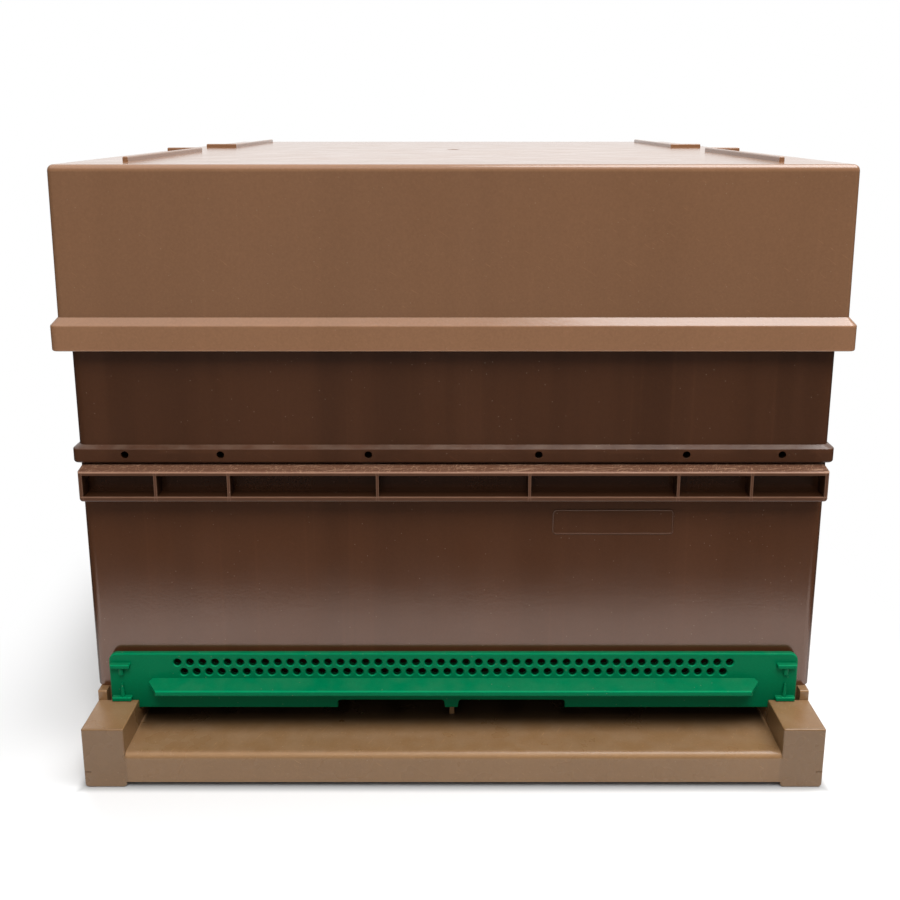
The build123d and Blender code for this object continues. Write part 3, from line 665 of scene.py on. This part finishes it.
class HIVE_OT_body_sections(bpy.types.Operator):
    """Finish the two body sections and the scuffed finger rims"""

    bl_idname = "hive.body_sections"
    bl_label = "Body sections"

    def execute(self, context):
        colours = context.scene.hive_colours
        low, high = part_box("upper_body")
        upper = moulded(
            "Upper brown",
            colours.body,
            colours.dust,
            flow=0.6,
            marks=0.22,
            # Paler lines on the flange's edges: part wear, part painted highlight.
            wear_and_highlight=(low.z, low.z + FLANGE_FACE),
            # Painted shade in the flange's holes.
            painted_shade=in_holes(low, high),
        )
        dress(upper, "upper_body", "frame_spacers")
        front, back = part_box("front_grip_rim"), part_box("back_grip_rim")
        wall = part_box("lower_body")[0].y
        lower = moulded(
            "Lower brown",
            toned(colours.body, 1.25),
            colours.dust,
            rough=0.2,
            gloss=1.0,
            tint=(1.0, 0.82, 0.74),
            flow=0.4,
            marks=0.2,
            wave=8,
            # Painted shade behind the gate and in the front finger pockets.
            painted_shade=behind_gate(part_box("entrance_gate"), front, wall),
        )
        dress(lower, "lower_body")
        middle, reach = (front[0].y + back[1].y) / 2, (back[1].y - front[0].y) / 2
        foot, top = front[0].z, front[1].z
        heights = (foot, foot + RIM_FOOT_PLATE, top - RIM_TOP_FALL, top)
        brown = toned(colours.body, 1.1)
        rim = scuffed_rim("Rim brown", brown, colours.dust, middle, reach, heights, RIM_RIBS)
        dress(rim, "front_grip_rim", "back_grip_rim")
        return {"FINISHED"}


class HIVE_OT_front_panel(bpy.types.Operator):
    """Raise the bare rounded panel on the front wall"""

    bl_idname = "hive.front_panel"
    bl_label = "Front panel"

    def execute(self, context):
        sizes = context.scene.hive_sizes
        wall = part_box("lower_body")[0].y
        across, up = PANEL_PLACE
        shape = Shape(
            "Front panel",
            Width=sizes.panel_width,
            Height=sizes.panel_height,
            Corner=sizes.panel_corner,
            Line=sizes.panel_line,
            Middle=(across, wall, up),
        )
        outline = shape.add(
            "GeometryNodeCurvePrimitiveQuadrilateral",
            {"mode": "RECTANGLE"},
            {"Width": shape.size("Width"), "Height": shape.size("Height")},
        )
        rounded = shape.add(
            "GeometryNodeFilletCurve",
            {"mode": "POLY"},
            {0: outline, "Count": 6, "Radius": shape.size("Corner"), "Limit Radius": True},
        )
        profile = shape.add(
            "GeometryNodeCurvePrimitiveCircle",
            {"mode": "RADIUS"},
            {"Resolution": 8, "Radius": shape.size("Line")},
        )
        line = shape.add("GeometryNodeCurveToMesh", {}, {0: rounded, 1: profile})
        stood = shape.add(
            "GeometryNodeTransform",
            {},
            {0: line, "Translation": shape.given.outputs["Middle"], "Rotation": (math.pi / 2, 0, 0)},
        )
        shape.end(stood, bpy.data.materials["Lower brown"])
        panel = shape.make("front_panel_outline")
        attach(panel, "lower_section")
        return {"FINISHED"}


class HIVE_OT_floor(bpy.types.Operator):
    """Finish the floor with its landing board and pillars"""

    bl_idname = "hive.floor"
    bl_label = "Floor"

    def execute(self, context):
        colours = context.scene.hive_colours
        # Painted shade at the entrance and on the faces of the pillars.
        painted_shade = painted_entrance_shade(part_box("lower_body")[0].y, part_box("hive_floor")[0].y)
        made = moulded(
            "Floor tan",
            colours.floor,
            colours.dust,
            rough=0.28,
            flow=0.1,
            film=0.08,
            # Painted highlights on the upturned edges of the landing board and pillars.
            edges=0.5,
            painted_shade=painted_shade,
        )
        dress(made, "hive_floor")
        return {"FINISHED"}


class HIVE_OT_screen_and_tray(bpy.types.Operator):
    """Finish the floor screen and the inspection tray"""

    bl_idname = "hive.screen_and_tray"
    bl_label = "Screen and tray"

    def execute(self, context):
        colours = context.scene.hive_colours
        dress(moulded("Screen tan", colours.floor, colours.dust, rough=0.45, film=0.4), "floor_screen")
        dress(moulded("Tray tan", colours.tray, colours.dust, rough=0.4, film=0.35), "inspection_tray")
        return {"FINISHED"}


class HIVE_OT_gate(bpy.types.Operator):
    """Finish the green entrance gate"""

    bl_idname = "hive.gate"
    bl_label = "Gate"

    def execute(self, context):
        colours = context.scene.hive_colours
        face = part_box("lower_body")[0].y - GATE_STAND
        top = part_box("entrance_gate")[1].z
        made = moulded(
            "Gate green",
            colours.gate,
            colours.dust,
            rough=0.3,
            gloss=0.06,
            flow=0.1,
            film=0.02,
            marks=0.2,
            # Painted highlights on the gate's top edge and the lower rims of its vents.
            edges=0.85,
            # Painted shade in the vents and low on the gate's face.
            painted_shade=in_vents(face, top),
            # Painted highlight lines on the visor's lip.
            pale=lip_lines(face, top - VISOR_FOOT),
        )
        dress(made, "entrance_gate")
        return {"FINISHED"}


class HIVE_OT_frames(bpy.types.Operator):
    """Finish the wooden bars of the frames"""

    bl_idname = "hive.frames"
    bl_label = "Frames"

    def execute(self, context):
        colours = context.scene.hive_colours
        lengthwise = planed_wood("Wood along", colours.wood, 1)
        upright = planed_wood("Wood upright", toned(colours.wood, 0.95), 2)
        dress(lengthwise, *(f"{name}_{bar}_bar" for name in FRAMES for bar in ("top", "bottom")))
        dress(upright, *(f"{name}_end_bars" for name in FRAMES))
        return {"FINISHED"}


class HIVE_OT_nails(bpy.types.Operator):
    """Drive the nails that hold the top bars to the end bars"""

    bl_idname = "hive.nails"
    bl_label = "Frame nails"

    def execute(self, context):
        sizes, colours = context.scene.hive_sizes, context.scene.hive_colours
        first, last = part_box("frame_01_end_bars"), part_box("frame_10_end_bars")
        ends = (first[0].y + first[1].y) / 2
        start = (first[0].x + first[1].x) / 2
        shape = Shape(
            "Frame nails",
            Radius=sizes.nail_radius,
            Height=sizes.nail_height,
            Pitch=((last[0].x + last[1].x) / 2 - start) / (len(FRAMES) - 1),
            Reach=(first[1].y - first[0].y) / 2 - NAIL_INSET,
            Aside=NAIL_ASIDE,
            Start=(start, ends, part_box("frame_01_top_bar")[1].z),
        )
        row = shape.add(
            "GeometryNodeMeshLine",
            {"mode": "OFFSET"},
            {
                "Count": len(FRAMES),
                "Start Location": shape.given.outputs["Start"],
                "Offset": shape.vector(shape.size("Pitch"), 0.0, 0.0),
            },
        )
        lengthwise = shape.vector(0.0, shape.size("Reach"), 0.0)
        across = shape.vector(shape.size("Aside"), 0.0, 0.0)
        for step in (lengthwise, across):
            back = shape.add("ShaderNodeVectorMath", {"operation": "SCALE"}, {0: step, "Scale": -1.0})
            twice = shape.add("ShaderNodeVectorMath", {"operation": "SCALE"}, {0: step, "Scale": 2.0})
            pair = shape.add(
                "GeometryNodeMeshLine",
                {"mode": "OFFSET"},
                {"Count": 2, "Start Location": back, "Offset": twice},
            )
            row = shape.add("GeometryNodeInstanceOnPoints", {}, {"Points": row, "Instance": pair})
            row = shape.add("GeometryNodeRealizeInstances", {}, {0: row})
        head = shape.add(
            "GeometryNodeMeshCone",
            {},
            {
                "Vertices": 12,
                "Radius Top": shape.size("Radius") * 0.72,
                "Radius Bottom": shape.size("Radius"),
                "Depth": shape.size("Height"),
            },
        )
        heads = shape.add("GeometryNodeInstanceOnPoints", {}, {"Points": row, "Instance": head})
        shape.end(heads, nail_steel("Nail steel", colours.steel))
        nails = shape.make("frame_nails")
        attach(nails, "frames")
        return {"FINISHED"}


class HIVE_OT_foundation(bpy.types.Operator):
    """Press the cell bases into the wax sheets"""

    bl_idname = "hive.foundation"
    bl_label = "Wax foundation"

    def execute(self, context):
        sizes, colours = context.scene.hive_sizes, context.scene.hive_colours
        shape = Shape(
            "Pressed wax",
            Length=0.4,
            Height=0.27,
            Wall=0.0007,
            Low=(0.0, 0.0, 0.0),
            Cell=sizes.cell,
            Relief=sizes.relief,
        )
        side = shape.size("Cell") / math.sqrt(3)
        rows = (shape.size("Height") / side).round()
        columns = (shape.size("Length") / (side * math.sqrt(0.75))).round()
        grid = shape.add(
            "GeometryNodeMeshGrid",
            {},
            {"Size X": columns, "Size Y": rows, "Vertices X": columns + 1, "Vertices Y": rows + 1},
        )
        x, y, _ = shape.parts(shape.add("GeometryNodeInputPosition"))
        column = (x + columns * 0.5).round()
        row = (y + rows * 0.5).round()
        kind = (row - (column * 0.5).floor() + column * 2) % 3
        lifted = (row + (column % 2) * 0.5 * row.least(1.0)).least(rows)
        low = shape.given.outputs["Low"]
        pressed = shape.vector(
            (kind - 1) * shape.size("Relief") - shape.size("Wall") * 0.5,
            column * shape.size("Length") / columns,
            lifted * shape.size("Height") / rows,
        )
        spot = shape.add("ShaderNodeVectorMath", {"operation": "ADD"}, {0: pressed, 1: low})
        face = shape.add("GeometryNodeSetPosition", {}, {0: grid, "Position": spot})
        face = shape.add("GeometryNodeTriangulate", {"quad_method": "SHORTEST_DIAGONAL"}, {0: face})
        through = shape.vector(shape.size("Wall"), 0.0, 0.0)
        front = shape.add(
            "GeometryNodeExtrudeMesh",
            {"mode": "FACES"},
            {0: face, "Offset": through, "Offset Scale": 1.0, "Individual": False},
        )
        back = shape.add("GeometryNodeFlipFaces", {}, {0: face})
        both = shape.add("GeometryNodeJoinGeometry", {}, {0: front})
        shape.tree.links.new(back.outputs[0], both.inputs[0])
        sheet = shape.add("GeometryNodeMergeByDistance", {}, {0: both, "Distance": 0.00001})
        shape.end(sheet, pressed_wax("Pressed wax", colours.wax))
        for name in FRAMES:
            node = f"{name}_foundation"
            low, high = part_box(node)
            made = shape.make(
                f"{name}_wax",
                Length=high.y - low.y,
                Height=high.z - low.z,
                Wall=high.x - low.x - 2 * sizes.relief,
                Low=((low.x + high.x) / 2, low.y, low.z),
            )
            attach(made, "frames")
            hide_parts(node)
        return {"FINISHED"}


class HIVE_OT_studio(bpy.types.Operator):
    """Set the pale floor, the soft lamps and the camera"""

    bl_idname = "hive.studio"
    bl_label = "Studio"

    def execute(self, context):
        scene, studio = context.scene, context.scene.hive_studio
        scene.view_settings.view_transform = "Standard"
        self.lay_floor(scene)
        self.light_room(scene, studio.room)
        for name, field, place, size, mirrored in LAMPS:
            self.hang_lamp(scene, name, getattr(studio, field), place, size, mirrored)
        lens = bpy.data.cameras.new("Front camera")
        lens.lens, lens.sensor_width = CAMERA_LENS, 36.0
        lens.shift_x, lens.shift_y = CAMERA_SHIFT
        camera = bpy.data.objects.new("Front camera", lens)
        camera.location = CAMERA_PLACE
        camera.rotation_euler = (math.radians(CAMERA_TILT), 0.0, 0.0)
        scene.collection.objects.link(camera)
        scene.camera = camera
        return {"FINISHED"}

    def lay_floor(self, scene):
        """Pale paper: grey in what lights the hive, white to the camera away from the shadow."""
        corners = [(x * FLOOR_REACH, y * FLOOR_REACH, 0) for x, y in ((-1, -1), (1, -1), (1, 1), (-1, 1))]
        mesh = bpy.data.meshes.new("Studio floor")
        mesh.from_pydata(corners, [], [(0, 1, 2, 3)])
        ground = bpy.data.objects.new("Studio floor", mesh)
        scene.collection.objects.link(ground)
        paper = Finish("White paper")
        low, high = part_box("hive_floor")
        away = (abs(paper.x) - high.x).most(abs(paper.y) + low.y)
        pale = self.paint(paper, paper.mix(paper.cloud(0.004, detail=2), grey(0.42), grey(0.46)))
        # Darker paper within a few millimetres of the foot: a painted contact shadow.
        painted_contact_shadow = self.paint(paper, paper.mix(away.ramp(0.0, 0.006), grey(0.45), grey(0.8)))
        white = paper.add("ShaderNodeEmission", {}, {"Color": grey(1.0), "Strength": 1.0})
        clear = away.ramp(0.02, 0.13).most(paper.y.ramp(-0.16, 0.06))
        shown = self.blend(paper, clear, painted_contact_shadow, white)
        sheen = self.paint(paper, paper.mix((0 - paper.y).ramp(0.2, 0.27), grey(0.4), grey(0.94)))
        near = self.blend(paper, away.ramp(0.125, 0.185), sheen, self.paint(paper, grey(0.02)))
        shown = self.blend(paper, paper.rays("Glossy"), shown, near)
        both = self.blend(paper, paper.rays("Camera", "Glossy", "Transmission"), pale, shown)
        paper.add("ShaderNodeOutputMaterial", {}, {"Surface": both})
        mesh.materials.append(paper.material)

    def paint(self, nodes, colour):
        return nodes.add("ShaderNodeBsdfDiffuse", {}, {"Color": colour})

    def blend(self, nodes, factor, below, above):
        return nodes.add("ShaderNodeMixShader", {}, {0: factor, 1: below, 2: above})

    def light_room(self, scene, level):
        """White to the camera, a bright backdrop in reflections, and even light from above."""
        world = bpy.data.worlds.new("Studio room")
        scene.world = world
        world.use_nodes = True
        room = Nodes(world.node_tree)
        x, y, z = room.parts(room.add("ShaderNodeTexCoord").outputs["Generated"])
        mirrored = room.rays("Glossy", "Transmission")
        backdrop = (y.ramp(-0.1, 0.3) * (1 - abs(x).ramp(0.55, 0.95) * 0.8)).most(z.ramp(0.35, 0.8))
        strength = room.rays("Camera").most(mirrored * backdrop)
        strength = strength.most((1 - mirrored) * z.ramp(0.0, 0.7) * level)
        light = room.add("ShaderNodeBackground", {}, {"Color": grey(1.0), "Strength": strength})
        room.add("ShaderNodeOutputWorld", {}, {"Surface": light})

    def hang_lamp(self, scene, name, power, place, size, mirrored):
        lamp = bpy.data.lights.new(name, "AREA")
        lamp.shape, lamp.size, lamp.energy = "DISK", size, power
        hung = bpy.data.objects.new(name, lamp)
        hung.location = place
        aim = -hung.location.copy()
        aim.z += LAMP_AIM
        hung.rotation_euler = aim.to_track_quat("-Z", "Y").to_euler()
        hung.visible_glossy = mirrored
        scene.collection.objects.link(hung)


OPERATORS = (
    HIVE_OT_roof,
    HIVE_OT_crown_board,
    HIVE_OT_body_sections,
    HIVE_OT_front_panel,
    HIVE_OT_floor,
    HIVE_OT_screen_and_tray,
    HIVE_OT_gate,
    HIVE_OT_frames,
    HIVE_OT_nails,
    HIVE_OT_foundation,
    HIVE_OT_studio,
)
GROUPS = {"hive_colours": HiveColours, "hive_sizes": HiveSizes, "hive_studio": HiveStudio}


class HIVE_PT_panel(bpy.types.Panel):
    """Colours, sizes and steps of the hive"""

    bl_idname = "HIVE_PT_panel"
    bl_label = "Plastic beehive"
    bl_space_type = "VIEW_3D"
    bl_region_type = "UI"
    bl_category = "Hive"

    def draw(self, context):
        for key, group in GROUPS.items():
            column = self.layout.column(align=True)
            for field in group.__annotations__:
                column.prop(getattr(context.scene, key), field)
        for operator in OPERATORS:
            self.layout.operator(operator.bl_idname)


def register():
    for made in (*GROUPS.values(), *OPERATORS, HIVE_PT_panel):
        bpy.utils.register_class(made)
    for key, group in GROUPS.items():
        setattr(bpy.types.Scene, key, PointerProperty(type=group))


def unregister():
    for key in GROUPS:
        delattr(bpy.types.Scene, key)
    for made in (HIVE_PT_panel, *reversed(OPERATORS), *GROUPS.values()):
        bpy.utils.unregister_class(made)


def main():
    register()
    for operator in OPERATORS:
        getattr(bpy.ops.hive, operator.bl_idname.split(".")[1])()


if __name__ == "__main__":
    main()
